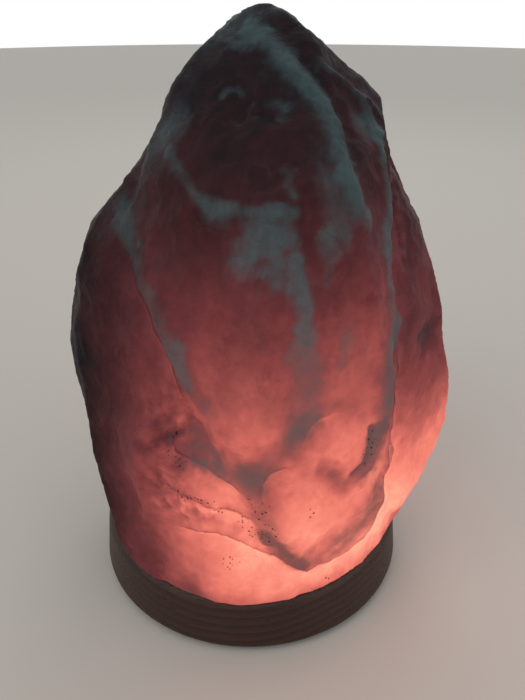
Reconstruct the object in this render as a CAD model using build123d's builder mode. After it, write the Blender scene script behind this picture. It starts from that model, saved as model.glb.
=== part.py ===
from build123d import *
import os
from math import cos, radians, sin, sqrt

# Salt crystal lamp: a rough crystal on a turned wooden base, bored from below for a bulb in a
# screw-in lampholder that two spring wings hold in the base. Millimetres, +Z up, +X to the right
# and -Y to the front. The origin is on the axis of the base, on the surface that the lamp stands on.

# ---- wooden base ----
base_diameter = 150.0
base_thickness = 26.0
base_side_taper = 6.0           # degrees that the side leans in
base_top_round = 5.0
base_bottom_round = 2.5
base_hole_diameter = 44.0
cord_groove_width = 9.0
cord_groove_depth = 7.0
foot_diameter = 16.0
foot_thickness = 2.5
foot_circle_radius = 60.0
foot_angles = {"back_right": 45, "back_left": 135, "front_left": 225, "front_right": 315}

# ---- crystal ----
rough_width = 250.0             # of the block that the facets are cut from; their distances are in
                                # hundredths of it
facet_centre_height = 81.5      # above the top of the base; every facet's distance starts here
bore_diameter = 50.0
bore_depth = 90.0               # straight part; a drill cone ends it
bore_cone_height = 8.0

# ---- screws that hold the crystal, and their plugs ----
screw_count = 3
screw_start_angle = 30
screw_ring_radius = 48.0
screw_diameter = 4.0
screw_length = 45.0
screw_head_diameter = 8.0
screw_head_height = 2.8
screw_head_round = 0.9
screw_sink_diameter = 10.0
screw_sink_depth = 7.0
screw_point_length = 4.0
screw_point_depth = 1.6
driver_slot_length = 4.8
driver_slot_width = 1.2
driver_slot_depth = 1.4
plug_diameter = 8.0
plug_length = 30.0
plug_slit_width = 1.2
plug_slit_length = 10.0
plug_end_length = 10.0          # left whole beyond the slit

# ---- spring clip under the lampholder ----
clip_height = 14.0              # its underside, above the floor
clip_sheet = 0.8
clip_width = 10.0
clip_half_length = 15.6
clip_plate_radius = 9.0
wing_knee_height = 11.0         # above the wing's bend
wing_height = 23.0
wing_tip_inset = 2.8
wing_bend_radius = 2.0
wing_wall_clearance = 0.3
wing_bend_gap = 0.05

# ---- lampholder ----
holder_radius = 14.0
holder_wall = 1.8
cap_floor = 2.0
cap_round = 0.9
terminal_room_height = 9.0
terminal_room_radius = 10.9
core_thickness = 5.0
cap_overlap = 5.0               # of the shell's spigot in the cap
shell_height = 21.0             # above the cap
shell_mouth_radius = 9.8
shell_lip = 2.0
shell_lip_round = 1.0
barrel_radius = 10.4
barrel_height = 19.0
barrel_clearance = 0.4
screw_shell_radius = 7.2        # inside
screw_shell_sheet = 0.5
screw_shell_height = 18.0
screw_shell_floor_hole = 5.2    # radius
seat_clearance = 0.1
nipple_radius = 5.0
nipple_bore_radius = 3.5
nipple_flange_flats = 15.0
nipple_flange_height = 3.0
nipple_collar_height = 2.0
nipple_end_round = 0.6
nipple_end_height = 1.0         # above the nut
nut_flats = 14.0
nut_height = 2.5

terminal_offset = 5.5
terminal_width = 5.0
terminal_height = 5.5
terminal_pocket = 1.0
wire_hole_radius = 1.2
wire_hole_depth = 4.0
terminal_screw_radius = 1.1
terminal_screw_head_radius = 1.7
terminal_screw_head_height = 1.4
terminal_screw_rise = 2.0       # of its axis above the block's bottom
contact_sheet = 0.6
contact_width = 4.0
contact_height = 2.5
contact_pin_offset = 3.9
contact_pin_radius = 0.7
shell_tab_width = 3.0

# ---- bulb ----
bulb_length = 57.0
bulb_radius = 12.5
bulb_neck_radius = 8.0
bulb_glass_wall = 0.7
bulb_cap_length = 25.0          # from the tip of the contact to the end of the skirt
bulb_cap_radius = 6.9
bulb_cap_sheet = 0.4
bulb_skirt_height = 5.0
bulb_skirt_flare = 2.0
bulb_cap_nose = 1.0             # height of the slope from the insulator to the thread
bulb_neck_rise = 1.0            # of the neck above the cap, before it swells
insulator_height = 4.0
insulator_rim_radius = 5.6
insulator_nose_radius = 3.4
tip_radius = 2.4
tip_height = 1.6
tip_round = 0.8
contact_gap = 0.3
running_gap = 0.3
stem_height = 20.0
stem_radius = 3.0
filament_height = 12.0          # above the stem
filament_half_span = 7.0
filament_arch = 1.0             # rise of its middle above its ends
filament_sag = 3.5              # its middle lies this far behind them
lead_wire_overlap = 6.5         # of the wires beside the stem
lead_wire_bend = 2.0
wire_radius = 0.3
filament_radius = 0.45

# ---- heights that follow from these ----
base_bottom = foot_thickness
base_top = base_bottom + base_thickness
clip_top = clip_height + clip_sheet
core_bottom = clip_top + cap_floor + terminal_room_height
core_top = core_bottom + core_thickness
cap_top = core_top + cap_overlap
bulb_tip = core_top + contact_height + contact_gap
bulb_cap_top = bulb_tip + bulb_cap_length
bulb_top = bulb_tip + bulb_length
insulator_bottom = bulb_tip + tip_height / 2
insulator_top = insulator_bottom + insulator_height
skirt_bottom = bulb_cap_top - bulb_skirt_height
glass_bottom = skirt_bottom + bulb_cap_sheet
stem_top = glass_bottom + stem_height
filament_top = stem_top + filament_height
screw_head_bottom = base_bottom + screw_sink_depth - screw_head_height
hole_radius = base_hole_diameter / 2
bore_radius = bore_diameter / 2

os.makedirs("parts", exist_ok=True)


def save(piece, name):
    piece.part.label = name
    export_step(piece.part, f"parts/{name}.step")


def direction(azimuth, tilt):
    # a unit vector at an azimuth from +X and a tilt up from level, in degrees
    level = cos(radians(tilt))
    return Vector(level * cos(radians(azimuth)), level * sin(radians(azimuth)), sin(radians(tilt)))


def hewn_block(facets):
    # a convex block cut by planes: each facet has the azimuth and tilt that it faces, and its distance
    centre = Vector(0, 0, base_top + facet_centre_height)
    with BuildPart(Plane.XY.offset(base_top)) as block:
        Box(rough_width, rough_width, rough_width, align=(Align.CENTER, Align.CENTER, Align.MIN))
        for azimuth, tilt, distance in facets:
            outward = direction(azimuth, tilt)
            cut = Plane(origin=centre + outward * (distance * rough_width / 100), z_dir=outward)
            split(bisect_by=cut, keep=Keep.BOTTOM)
    return block.part


# ---- salt crystal ----
# The tall block in the middle: its front is a shield with a ridge down each side.
spire_facets = [
    (180, 62, 49.6), (178, 36, 36.0), (176, 23, 28.0),                  # left edge, from the peak down
    (0, 58, 50.4), (-6, 51, 48.1),                                      # right edge, from the peak down
    (-118, 46, 39.6),                                                   # the smooth window below the peak
    (-84, 51, 44.2), (-34, 42, 42.96),                                  # either side of the pale ridge
    (-146, 35, 35.8), (-136, 18, 29.08),                                # left of the window
    (-119, 15.5, 29.16), (-30, 13, 30.32),                              # under the window, beside the ridge
    (-110, 8, 29.4), (-62, 6, 29.0),                                    # the two faces of the shield
    (-100, -14, 32.8), (-60, -14, 33.6),                                # the shield drawn in below
    (-140, -46, 24.8), (-10, -50, 30.8),                                # its lower edges, down to the tip
    (-160, -18, 13.32),                                                 # the crease on its left
    (6, 0, 20.2), (0, -16, 23.2),                                       # the upright ridge on its right
    (148, 36, 36.0), (62, 36, 36.8),                                    # the shoulders behind the peak
    (100, 24, 35.2), (96, -3, 32.2), (130, 2, 28.8),                    # the back
    (52, -3, 30.4), (88, -24, 39.2),                                    # and its undercut
]
left_shoulder_facets = [
    (176, 43, 37.2), (-176, 25, 34.2), (-166, 14, 32.8),                # left outline, from the top down
    (-163, 4, 31.4), (-166, -9, 31.8), (-168, -15, 34.2),
    (-128, 26, 30.4), (-130, 5, 26.0),                                  # front of the shoulder
    (-104, 30, 28.0), (-100, 2, 25.2), (-60, 2, 18.4),                  # hidden behind the shield
    (-60, 42, 28.0), (-90, 60, 33.6), (0, 0, 6.4),
    (140, 6, 37.2), (112, 10, 27.4), (132, 38, 33.6), (100, 52, 34.4),  # back
    (150, -10, 38.2), (108, -14, 30.4),
]
right_shoulder_facets = [
    (-6, 27, 36.2), (-6, 17, 35.1), (-8, 9, 34.64), (-8, -16, 41.2),   # right outline
    (-34, 18, 30.8), (-40, 3, 27.8), (-60, -8, 27.2),                   # front of the shoulder
    (-30, -26, 38.4),                                                   # the undercut below it
    (-90, 4, 22.4), (-80, 36, 28.8), (-90, 60, 33.6), (-130, 10, 16.0), # hidden
    (34, 8, 30.4), (72, 12, 28.0), (50, 38, 34.4), (80, 52, 34.4), (180, 0, 3.2),# back
    (36, -12, 34.0), (74, -15, 31.2),
]
foot_facets = [
    (-90, 36.5, 19.48), (-150, 40, 19.2), (-30, 50, 8.0), (90, 40, 8.0),# the sloping ledge
    (-90, -2, 29.6), (-118, -3, 29.6), (-148, -2, 27.6), (180, -4, 29.6),# down to the base
    (-60, -4, 30.4), (-30, -4, 30.6), (0, -6, 32.0), (32, -8, 32.4),
    (62, -8, 32.0), (90, -8, 32.0), (120, -8, 32.0), (150, -8, 32.4),
]

with BuildPart() as salt_crystal:
    add(hewn_block(spire_facets))
    add(hewn_block(left_shoulder_facets))
    add(hewn_block(right_shoulder_facets))
    add(hewn_block(foot_facets))
    # the blind bore for the bulb, ended by the drill's cone
    with BuildSketch(Plane.XZ):
        with BuildLine():
            Polyline(
                (0, base_top), (bore_radius, base_top), (bore_radius, base_top + bore_depth),
                (0, base_top + bore_depth + bore_cone_height), close=True,
            )
        make_face()
    revolve(axis=Axis.Z, mode=Mode.SUBTRACT)
    # the holes for the plugs
    with BuildSketch(Plane.XY.offset(base_top)):
        with PolarLocations(screw_ring_radius, screw_count, start_angle=screw_start_angle):
            Circle(plug_diameter / 2 + seat_clearance)
    extrude(amount=plug_length + seat_clearance, mode=Mode.SUBTRACT)
save(salt_crystal, "salt_crystal")

# ---- wooden base: a turned disc, a little narrower at the top, with rounded edges ----
with BuildPart() as wooden_base:
    with BuildSketch(Plane.XY.offset(base_bottom)):
        Circle(base_diameter / 2)
    extrude(amount=base_thickness, taper=base_side_taper)
    rims = wooden_base.edges().filter_by(GeomType.CIRCLE).sort_by(Axis.Z)
    fillet(rims[0], base_bottom_round)
    fillet(wooden_base.edges().filter_by(GeomType.CIRCLE).sort_by(Axis.Z)[-1], base_top_round)
    with BuildSketch(Plane.XY.offset(base_bottom)):
        Circle(hole_radius)
    extrude(amount=base_thickness, mode=Mode.SUBTRACT)
    # the groove that leads the cord out from under the base, at the back
    with BuildSketch(Plane.XY.offset(base_bottom)):
        Rectangle(cord_groove_width, base_diameter, align=(Align.CENTER, Align.MIN))
    extrude(amount=cord_groove_depth, mode=Mode.SUBTRACT)
    # holes for the screws, their heads sunk into the underside
    with BuildSketch(Plane.XY.offset(base_bottom)):
        with PolarLocations(screw_ring_radius, screw_count, start_angle=screw_start_angle):
            Circle(screw_diameter / 2 + seat_clearance)
    extrude(amount=base_thickness, mode=Mode.SUBTRACT)
    with BuildSketch(Plane.XY.offset(base_bottom)):
        with PolarLocations(screw_ring_radius, screw_count, start_angle=screw_start_angle):
            Circle(screw_sink_diameter / 2)
    extrude(amount=screw_sink_depth, mode=Mode.SUBTRACT)
save(wooden_base, "wooden_base")

# ---- four felt feet ----
for corner, angle in foot_angles.items():
    with BuildPart() as foot:
        with BuildSketch(Plane.XY):
            with PolarLocations(foot_circle_radius, 1, start_angle=angle):
                Circle(foot_diameter / 2)
        extrude(amount=foot_thickness)
    save(foot, f"felt_foot_{corner}")

# ---- three screws with pan heads, up through the base into the plugs ----
with BuildPart() as fixing_screws:
    with BuildSketch(Plane.XY.offset(screw_head_bottom)):
        with PolarLocations(screw_ring_radius, screw_count, start_angle=screw_start_angle):
            Circle(screw_head_diameter / 2)
    extrude(amount=screw_head_height)
    fillet(fixing_screws.edges().filter_by(GeomType.CIRCLE).group_by(Axis.Z)[0], screw_head_round)
    with BuildSketch(Plane.XY.offset(screw_head_bottom)):
        with PolarLocations(screw_ring_radius, screw_count, start_angle=screw_start_angle):
            Rectangle(driver_slot_length, driver_slot_width)
            Rectangle(driver_slot_width, driver_slot_length)
    extrude(amount=driver_slot_depth, mode=Mode.SUBTRACT)
    with BuildSketch(Plane.XY.offset(screw_head_bottom + screw_head_height)):
        with PolarLocations(screw_ring_radius, screw_count, start_angle=screw_start_angle):
            Circle(screw_diameter / 2)
    extrude(amount=screw_length - screw_head_height)
    chamfer(
        fixing_screws.edges().filter_by(GeomType.CIRCLE).group_by(Axis.Z)[-1],
        length=screw_point_length, length2=screw_point_depth,
    )
save(fixing_screws, "fixing_screws")

# ---- three plastic plugs in the crystal, slit so that the screws spread them ----
with BuildPart() as wall_plugs:
    with BuildSketch(Plane.XY.offset(base_top)):
        with PolarLocations(screw_ring_radius, screw_count, start_angle=screw_start_angle):
            Circle(plug_diameter / 2)
            Circle(screw_diameter / 2 + seat_clearance, mode=Mode.SUBTRACT)
    extrude(amount=plug_length)
    with BuildSketch(Plane.XY.offset(base_top + plug_length - plug_end_length)):
        with PolarLocations(screw_ring_radius, screw_count, start_angle=screw_start_angle):
            Rectangle(plug_slit_width, plug_diameter + plug_slit_width)
    extrude(amount=-plug_slit_length, mode=Mode.SUBTRACT)
save(wall_plugs, "wall_plugs")

# ---- spring clip: the plate under the lampholder ----
with BuildPart() as clip_bridge:
    with BuildSketch(Plane.XY.offset(clip_height)):
        Rectangle(2 * clip_half_length, clip_width)
        Circle(clip_plate_radius)
        Circle(nipple_radius + seat_clearance, mode=Mode.SUBTRACT)
    extrude(amount=clip_sheet)
save(clip_bridge, "clip_bridge")

# ---- spring clip: the wings, whose knees press on the wall of the base's hole ----
bend_x = clip_half_length + wing_bend_gap + clip_sheet / 2
bend_z = clip_height + clip_sheet / 2
wing_reach = sqrt((hole_radius - wing_wall_clearance) ** 2 - (clip_width / 2) ** 2)
knee_x = wing_reach - clip_sheet / 2
for side, sign in (("left", -1), ("right", 1)):
    with BuildPart() as wing:
        with BuildSketch(Plane.XZ.offset(-clip_width / 2)):
            with BuildLine() as leaf:
                FilletPolyline(
                    (sign * bend_x, bend_z),
                    (sign * knee_x, bend_z + wing_knee_height),
                    (sign * (knee_x - wing_tip_inset), bend_z + wing_height),
                    radius=wing_bend_radius,
                )
            trace(line_width=clip_sheet)
            with Locations((sign * bend_x, bend_z)):
                Circle(clip_sheet / 2)
        extrude(amount=clip_width)
    save(wing, f"clip_wing_{side}")

# ---- cord nipple: a flanged tube through the clip and the floor of the cap ----
nipple_flange_bottom = clip_height - nipple_flange_height
nut_bottom = clip_top + cap_floor
with BuildPart() as cord_nipple:
    with BuildSketch(Plane.XY.offset(nipple_flange_bottom)):
        RegularPolygon(nipple_flange_flats / 2, 6, major_radius=False)
    extrude(amount=nipple_flange_height)
    with BuildSketch(Plane.XY.offset(nipple_flange_bottom - nipple_collar_height)):
        Circle(nipple_radius)
    extrude(amount=nipple_collar_height)
    fillet(cord_nipple.edges().filter_by(GeomType.CIRCLE).sort_by(Axis.Z)[0], nipple_end_round)
    with BuildSketch(Plane.XY.offset(clip_height)):
        Circle(nipple_radius)
    extrude(amount=clip_sheet + cap_floor + nut_height + nipple_end_height)
    with BuildSketch(Plane.XY.offset(nipple_flange_bottom - nipple_collar_height)):
        Circle(nipple_bore_radius)
    extrude(until=Until.LAST, mode=Mode.SUBTRACT)
save(cord_nipple, "cord_nipple")

with BuildPart() as lock_nut:
    with BuildSketch(Plane.XY.offset(nut_bottom)):
        RegularPolygon(nut_flats / 2, 6, major_radius=False)
        Circle(nipple_radius + seat_clearance, mode=Mode.SUBTRACT)
    extrude(amount=nut_height)
save(lock_nut, "lock_nut")

# ---- lampholder cap: a cup whose ledge carries the core ----
cap_inner_radius = holder_radius - holder_wall
with BuildPart() as holder_cap:
    with BuildSketch(Plane.XY.offset(clip_top)):
        Circle(holder_radius)
    extrude(amount=cap_top - clip_top)
    fillet(holder_cap.edges().sort_by(Axis.Z)[0], cap_round)
    with BuildSketch(Plane.XY.offset(clip_top + cap_floor)):
        Circle(terminal_room_radius)
    extrude(amount=terminal_room_height, mode=Mode.SUBTRACT)
    with BuildSketch(Plane.XY.offset(core_bottom)):
        Circle(cap_inner_radius)
    extrude(amount=cap_top - core_bottom, mode=Mode.SUBTRACT)
    with BuildSketch(Plane.XY.offset(clip_top)):
        Circle(nipple_radius + seat_clearance)
    extrude(amount=cap_floor, mode=Mode.SUBTRACT)
save(holder_cap, "holder_cap")

# ---- lampholder shell: its spigot screws into the cap and presses on the core ----
spigot_radius = cap_inner_radius - seat_clearance
with BuildPart() as holder_shell:
    with BuildSketch(Plane.XY.offset(core_top)):
        Circle(spigot_radius)
    extrude(amount=cap_overlap)
    with BuildSketch(Plane.XY.offset(cap_top)):
        Circle(holder_radius)
    extrude(amount=shell_height)
    fillet(holder_shell.edges().filter_by(GeomType.CIRCLE).sort_by(Axis.Z)[-1], shell_lip_round)
    with BuildSketch(Plane.XY.offset(core_top)):
        Circle(barrel_radius + barrel_clearance)
    extrude(amount=cap_overlap, mode=Mode.SUBTRACT)
    with BuildSketch(Plane.XY.offset(cap_top)):
        Circle(barrel_radius + barrel_clearance)
    extrude(amount=shell_height - shell_lip, mode=Mode.SUBTRACT)
    with BuildSketch(Plane.XY.offset(cap_top + shell_height - shell_lip)):
        Circle(shell_mouth_radius)
    extrude(amount=shell_lip, mode=Mode.SUBTRACT)
save(holder_shell, "holder_shell")

# ---- lampholder core: an insulating disc with a barrel round the screw shell ----
with BuildPart() as holder_core:
    with BuildSketch(Plane.XY.offset(core_bottom)):
        Circle(cap_inner_radius - seat_clearance)
    extrude(amount=core_thickness)
    with BuildSketch(Plane.XY.offset(core_top)):
        Circle(barrel_radius)
        Circle(screw_shell_radius + screw_shell_sheet + seat_clearance, mode=Mode.SUBTRACT)
    extrude(amount=barrel_height)
    # pockets for the two terminals, and the ways up to the contacts
    with BuildSketch(Plane.XY.offset(core_bottom)):
        with Locations((-terminal_offset, 0), (terminal_offset, 0)):
            Rectangle(terminal_width + 2 * seat_clearance, terminal_width + 2 * seat_clearance)
    extrude(amount=terminal_pocket, mode=Mode.SUBTRACT)
    with BuildSketch(Plane.XY.offset(core_bottom)):
        with Locations((-contact_pin_offset, 0)):
            Circle(contact_pin_radius + seat_clearance)
        with Locations((screw_shell_radius - 2 * screw_shell_sheet, 0)):
            Rectangle(2 * screw_shell_sheet + 2 * seat_clearance, shell_tab_width + 2 * seat_clearance)
    extrude(amount=core_thickness, mode=Mode.SUBTRACT)
save(holder_core, "holder_core")

# ---- screw shell: the threaded sleeve, with a tab down to the neutral terminal ----
with BuildPart() as screw_shell:
    with BuildSketch(Plane.XY.offset(core_top)):
        Circle(screw_shell_radius + screw_shell_sheet)
    extrude(amount=screw_shell_height)
    with BuildSketch(Plane.XY.offset(core_top + screw_shell_sheet)):
        Circle(screw_shell_radius)
    extrude(amount=screw_shell_height, mode=Mode.SUBTRACT)
    with BuildSketch(Plane.XY.offset(core_top)):
        Circle(screw_shell_floor_hole)
    extrude(amount=screw_shell_sheet, mode=Mode.SUBTRACT)
    with BuildSketch(Plane.XY.offset(core_bottom + terminal_pocket)):
        with Locations((screw_shell_radius - 2 * screw_shell_sheet, 0)):
            Rectangle(2 * screw_shell_sheet, shell_tab_width)
    extrude(amount=core_thickness - terminal_pocket)
save(screw_shell, "screw_shell")

# ---- centre contact: a sprung tongue on a pin that reaches the live terminal ----
with BuildPart() as centre_contact:
    with BuildSketch(Plane.XZ.offset(-contact_width / 2)):
        with BuildLine():
            FilletPolyline(
                (-contact_pin_offset - contact_pin_radius, core_top + contact_sheet / 2),
                (contact_pin_offset - contact_sheet, core_top + contact_sheet / 2),
                (contact_pin_offset - 2 * contact_sheet, core_top + contact_height - contact_sheet / 2),
                (-contact_pin_radius, core_top + contact_height - contact_sheet / 2),
                radius=contact_sheet,
            )
        trace(line_width=contact_sheet)
    extrude(amount=contact_width)
    with BuildSketch(Plane.XY.offset(core_bottom + terminal_pocket)):
        with Locations((-contact_pin_offset, 0)):
            Circle(contact_pin_radius)
    extrude(amount=core_thickness - terminal_pocket + contact_sheet / 2)
save(centre_contact, "centre_contact")

# ---- two terminal blocks, each with a hole for a wire and one for its screw ----
terminal_top = core_bottom + terminal_pocket
terminal_bottom = terminal_top - terminal_height
terminal_screw_height = terminal_bottom + terminal_screw_rise
for side, sign in (("live", -1), ("neutral", 1)):
    with BuildPart() as terminal:
        with BuildSketch(Plane.XY.offset(terminal_bottom)):
            with Locations((sign * terminal_offset, 0)):
                Rectangle(terminal_width, terminal_width)
        extrude(amount=terminal_height)
        with BuildSketch(Plane.XY.offset(terminal_bottom)):
            with Locations((sign * terminal_offset, 0)):
                Circle(wire_hole_radius)
        extrude(amount=wire_hole_depth, mode=Mode.SUBTRACT)
        with BuildSketch(Plane.XZ.offset(terminal_width / 2)):
            with Locations((sign * terminal_offset, terminal_screw_height)):
                Circle(terminal_screw_radius + seat_clearance)
        extrude(amount=-terminal_width / 2, mode=Mode.SUBTRACT)
    save(terminal, f"{side}_terminal")

with BuildPart() as terminal_screws:
    with BuildSketch(Plane.XZ.offset(terminal_width / 2)):
        with Locations((-terminal_offset, terminal_screw_height), (terminal_offset, terminal_screw_height)):
            Circle(terminal_screw_head_radius)
    extrude(amount=terminal_screw_head_height)
    with BuildSketch(Plane.XZ.offset(terminal_width / 2)):
        with Locations((-terminal_offset, terminal_screw_height), (terminal_offset, terminal_screw_height)):
            Circle(terminal_screw_radius)
    extrude(amount=-(terminal_width / 2 - wire_hole_radius))
save(terminal_screws, "terminal_screws")


# ---- bulb ----
def glass_outline(inset):
    # the bulb's half outline, drawn in by a wall's thickness
    neck = bulb_neck_radius - inset
    wide = bulb_radius - inset
    shoulder = bulb_cap_top + bulb_neck_rise
    Polyline((0, glass_bottom), (neck, glass_bottom), (neck, shoulder))
    Spline((neck, shoulder), (wide, shoulder + bulb_radius), tangents=((0, 1), (0, 1)))
    Line((wide, shoulder + bulb_radius), (wide, bulb_top - bulb_radius))
    RadiusArc((wide, bulb_top - bulb_radius), (0, bulb_top - inset), -wide)
    Line((0, bulb_top - inset), (0, glass_bottom))


with BuildPart() as bulb_glass:
    with BuildSketch(Plane.XZ):
        with BuildLine():
            glass_outline(0)
        make_face()
    revolve(axis=Axis.Z)
    with BuildSketch(Plane.XZ):
        with BuildLine():
            glass_outline(bulb_glass_wall)
        make_face()
    revolve(axis=Axis.Z, mode=Mode.SUBTRACT)
save(bulb_glass, "bulb_glass")

# the cap: a thin shell with a plain stretch for the thread and a flared skirt round the neck
skirt_radius = bulb_neck_radius + bulb_cap_sheet + seat_clearance
with BuildPart() as bulb_cap:
    with BuildSketch(Plane.XZ):
        with BuildLine():
            Polyline(
                (insulator_rim_radius, insulator_top - bulb_cap_sheet),
                (bulb_cap_radius, insulator_top + bulb_cap_nose),
                (bulb_cap_radius, skirt_bottom - bulb_skirt_flare),
                (skirt_radius, skirt_bottom),
                (skirt_radius, bulb_cap_top),
                (skirt_radius - bulb_cap_sheet, bulb_cap_top),
                (skirt_radius - bulb_cap_sheet, skirt_bottom + bulb_cap_sheet / 2),
                (bulb_cap_radius - bulb_cap_sheet, skirt_bottom - bulb_skirt_flare + bulb_cap_sheet / 2),
                (bulb_cap_radius - bulb_cap_sheet, insulator_top + bulb_cap_nose + bulb_cap_sheet),
                (insulator_rim_radius, insulator_top),
                close=True,
            )
        make_face()
    revolve(axis=Axis.Z)
save(bulb_cap, "bulb_cap")

with BuildPart() as cap_insulator:
    with BuildSketch(Plane.XZ):
        with BuildLine():
            Polyline(
                (tip_radius + running_gap, insulator_bottom),
                (insulator_nose_radius, insulator_bottom),
                (insulator_rim_radius - seat_clearance, insulator_top),
                (tip_radius + running_gap, insulator_top),
                close=True,
            )
        make_face()
    revolve(axis=Axis.Z)
save(cap_insulator, "cap_insulator")

with BuildPart() as tip_contact:
    with BuildSketch(Plane.XY.offset(bulb_tip)):
        Circle(tip_radius)
    extrude(amount=tip_height)
    fillet(tip_contact.edges().sort_by(Axis.Z)[0], tip_round)
save(tip_contact, "tip_contact")

# the stem: a flare sealed to the neck, and a rod that carries the wires
with BuildPart() as glass_stem:
    with BuildSketch(Plane.XZ):
        with BuildLine():
            flare = bulb_neck_radius - bulb_glass_wall - seat_clearance
            Polyline((stem_radius / 2, stem_top), (0, stem_top), (0, glass_bottom), (flare, glass_bottom))
            Spline((flare, glass_bottom), (stem_radius / 2, stem_top), tangents=((-1, 0.4), (0, 1)))
        make_face()
    revolve(axis=Axis.Z)
save(glass_stem, "glass_stem")

# two wires that stand up from the stem to the ends of the filament
with BuildPart() as lead_wires:
    for sign in (-1, 1):
        with BuildLine() as route:
            FilletPolyline(
                (sign * (stem_radius / 2 + wire_radius + seat_clearance), 0, stem_top - lead_wire_overlap),
                (sign * (stem_radius / 2 + wire_radius + seat_clearance), 0, stem_top),
                (sign * filament_half_span, 0, filament_top),
                radius=lead_wire_bend,
            )
        with BuildSketch(Plane(origin=route.line @ 0, z_dir=route.line % 0)):
            Circle(wire_radius)
        sweep(path=route.line)
save(lead_wires, "lead_wires")

# the filament: an arch between the wires
with BuildPart() as filament:
    with BuildLine() as arch:
        start = (-filament_half_span, 0, filament_top + filament_radius)
        middle = (0, filament_sag, filament_top + filament_radius + filament_arch)
        end = (filament_half_span, 0, filament_top + filament_radius)
        ThreePointArc(start, middle, end)
    with BuildSketch(Plane(origin=arch.line @ 0, z_dir=arch.line % 0)):
        Circle(filament_radius)
    sweep(path=arch.line)
save(filament, "filament")
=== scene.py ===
import math

import bpy
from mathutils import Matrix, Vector, kdtree, noise


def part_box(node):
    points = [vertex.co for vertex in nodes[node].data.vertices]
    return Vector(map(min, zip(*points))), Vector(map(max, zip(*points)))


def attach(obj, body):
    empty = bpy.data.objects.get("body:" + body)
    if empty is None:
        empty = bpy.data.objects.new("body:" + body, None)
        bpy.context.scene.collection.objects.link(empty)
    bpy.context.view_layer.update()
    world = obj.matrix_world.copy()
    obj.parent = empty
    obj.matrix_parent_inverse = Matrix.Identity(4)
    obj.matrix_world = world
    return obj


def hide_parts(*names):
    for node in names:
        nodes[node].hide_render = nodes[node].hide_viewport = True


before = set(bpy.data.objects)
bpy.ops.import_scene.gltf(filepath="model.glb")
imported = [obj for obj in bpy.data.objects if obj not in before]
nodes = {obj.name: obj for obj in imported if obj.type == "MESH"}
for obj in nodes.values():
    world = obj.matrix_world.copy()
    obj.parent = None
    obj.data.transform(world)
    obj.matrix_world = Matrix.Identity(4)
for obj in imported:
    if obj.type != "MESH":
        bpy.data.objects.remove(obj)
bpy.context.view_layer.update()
print("frame loaded:", len(nodes), "CAD nodes")

scene = bpy.context.scene


def tone(red, green, blue):
    # a colour as it is read off a screen, 0 to 255, made linear
    parts = []
    for part in (red, green, blue):
        share = part / 255
        parts.append(share / 12.92 if share <= 0.04045 else ((share + 0.055) / 1.055) ** 2.4)
    return (*parts, 1.0)


# camera: height, distance and tilt fitted to the base's lower edge in the photograph
cameraSet = {
    "place": (0.0058, -0.2742, 0.2629), "tiltDown": 28.8, "lens": 35.0, "sensor": 36.0, "nearest": 0.01,
    "photo": (525, 700),            # width and height of the photograph in pixels
}

bpy.ops.object.camera_add(location=cameraSet["place"])
camera = bpy.context.object
camera.rotation_euler = (math.radians(90 - cameraSet["tiltDown"]), 0, 0)
camera.data.lens = cameraSet["lens"]
camera.data.sensor_width = cameraSet["sensor"]
camera.data.clip_start = cameraSet["nearest"]
scene.camera = camera
bpy.context.view_layer.update()

wide, tall = cameraSet["photo"]
lensReach = cameraSet["lens"] / cameraSet["sensor"] * tall      # the lens's length in pixels
toCamera = camera.matrix_world.inverted()


def sightLine(x, y):
    # the direction in which the camera sees a pixel of the photograph
    ray = Vector(((x - wide / 2) / lensReach, (tall / 2 - y) / lensReach, -1))
    return (camera.matrix_world.to_3x3() @ ray).normalized()


def pixelOf(place):
    # the pixel at which the camera sees a place
    seen = toCamera @ place
    return wide / 2 - lensReach * seen.x / seen.z, tall / 2 + lensReach * seen.y / seen.z


def between(value, low, high):
    # 0 up to low, 1 from high on
    return min(max((value - low) / (high - low), 0), 1)


def along(stops, value):
    # reads a list of (value, result) pairs in rising order
    for (low, lowResult), (high, highResult) in zip(stops, stops[1:]):
        if value <= high:
            return lowResult + (highResult - lowResult) * between(value, low, high)
    return stops[-1][1]


def selectOnly(piece):
    bpy.ops.object.select_all(action="DESELECT")
    piece.select_set(True)
    bpy.context.view_layer.objects.active = piece


def applied(piece, kind, **values):
    # adds a modifier, sets it and applies it
    selectOnly(piece)
    modifier = piece.modifiers.new(kind.title(), kind)
    for name, value in values.items():
        setattr(modifier, name, value)
    bpy.ops.object.modifier_apply(modifier=modifier.name)


def mergedCopy(node, name, gap=0.000002):
    # a copy of a CAD node's loose triangles, merged into one skin where points are within the gap
    piece = bpy.data.objects.new(name, nodes[node].data.copy())
    scene.collection.objects.link(piece)
    piece.data.materials.clear()
    selectOnly(piece)
    bpy.ops.object.mode_set(mode="EDIT")
    bpy.ops.mesh.select_all(action="SELECT")
    bpy.ops.mesh.remove_doubles(threshold=gap)
    bpy.ops.object.mode_set(mode="OBJECT")
    return piece


# the crystal: the hewn block remade in small faces, worn round and then sculpted
crystalShape = {
    "faceSize": 0.00142,
    "rounding": 8,                  # smoothing passes over the hewn edges
    "hollows": (0.040, 0.0020),     # size and depth of the broad hollows
    "scallops": (0.0150, 0.0013),   # the shallow cups that hewing leaves
    "chips": (0.0060, 0.0005),
    "chipPlaces": 0.02,             # size of the patches that have chips
    "grit": (0.0030, 0.00022),
    "boreEdge": 0.0265,             # below the bore's top, nothing nearer to the axis is sculpted
    "boreTop": 0.135,
    "boreFade": 0.006,              # how far out from the bore's edge the sculpting sets in
    "seatFade": 0.005,              # and how far up from the base
    "stretchFrom": 0.19,            # height from which the spire is stretched up to the apex
    "seed": 7,                      # another one gives other scallops and chips
}

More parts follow.
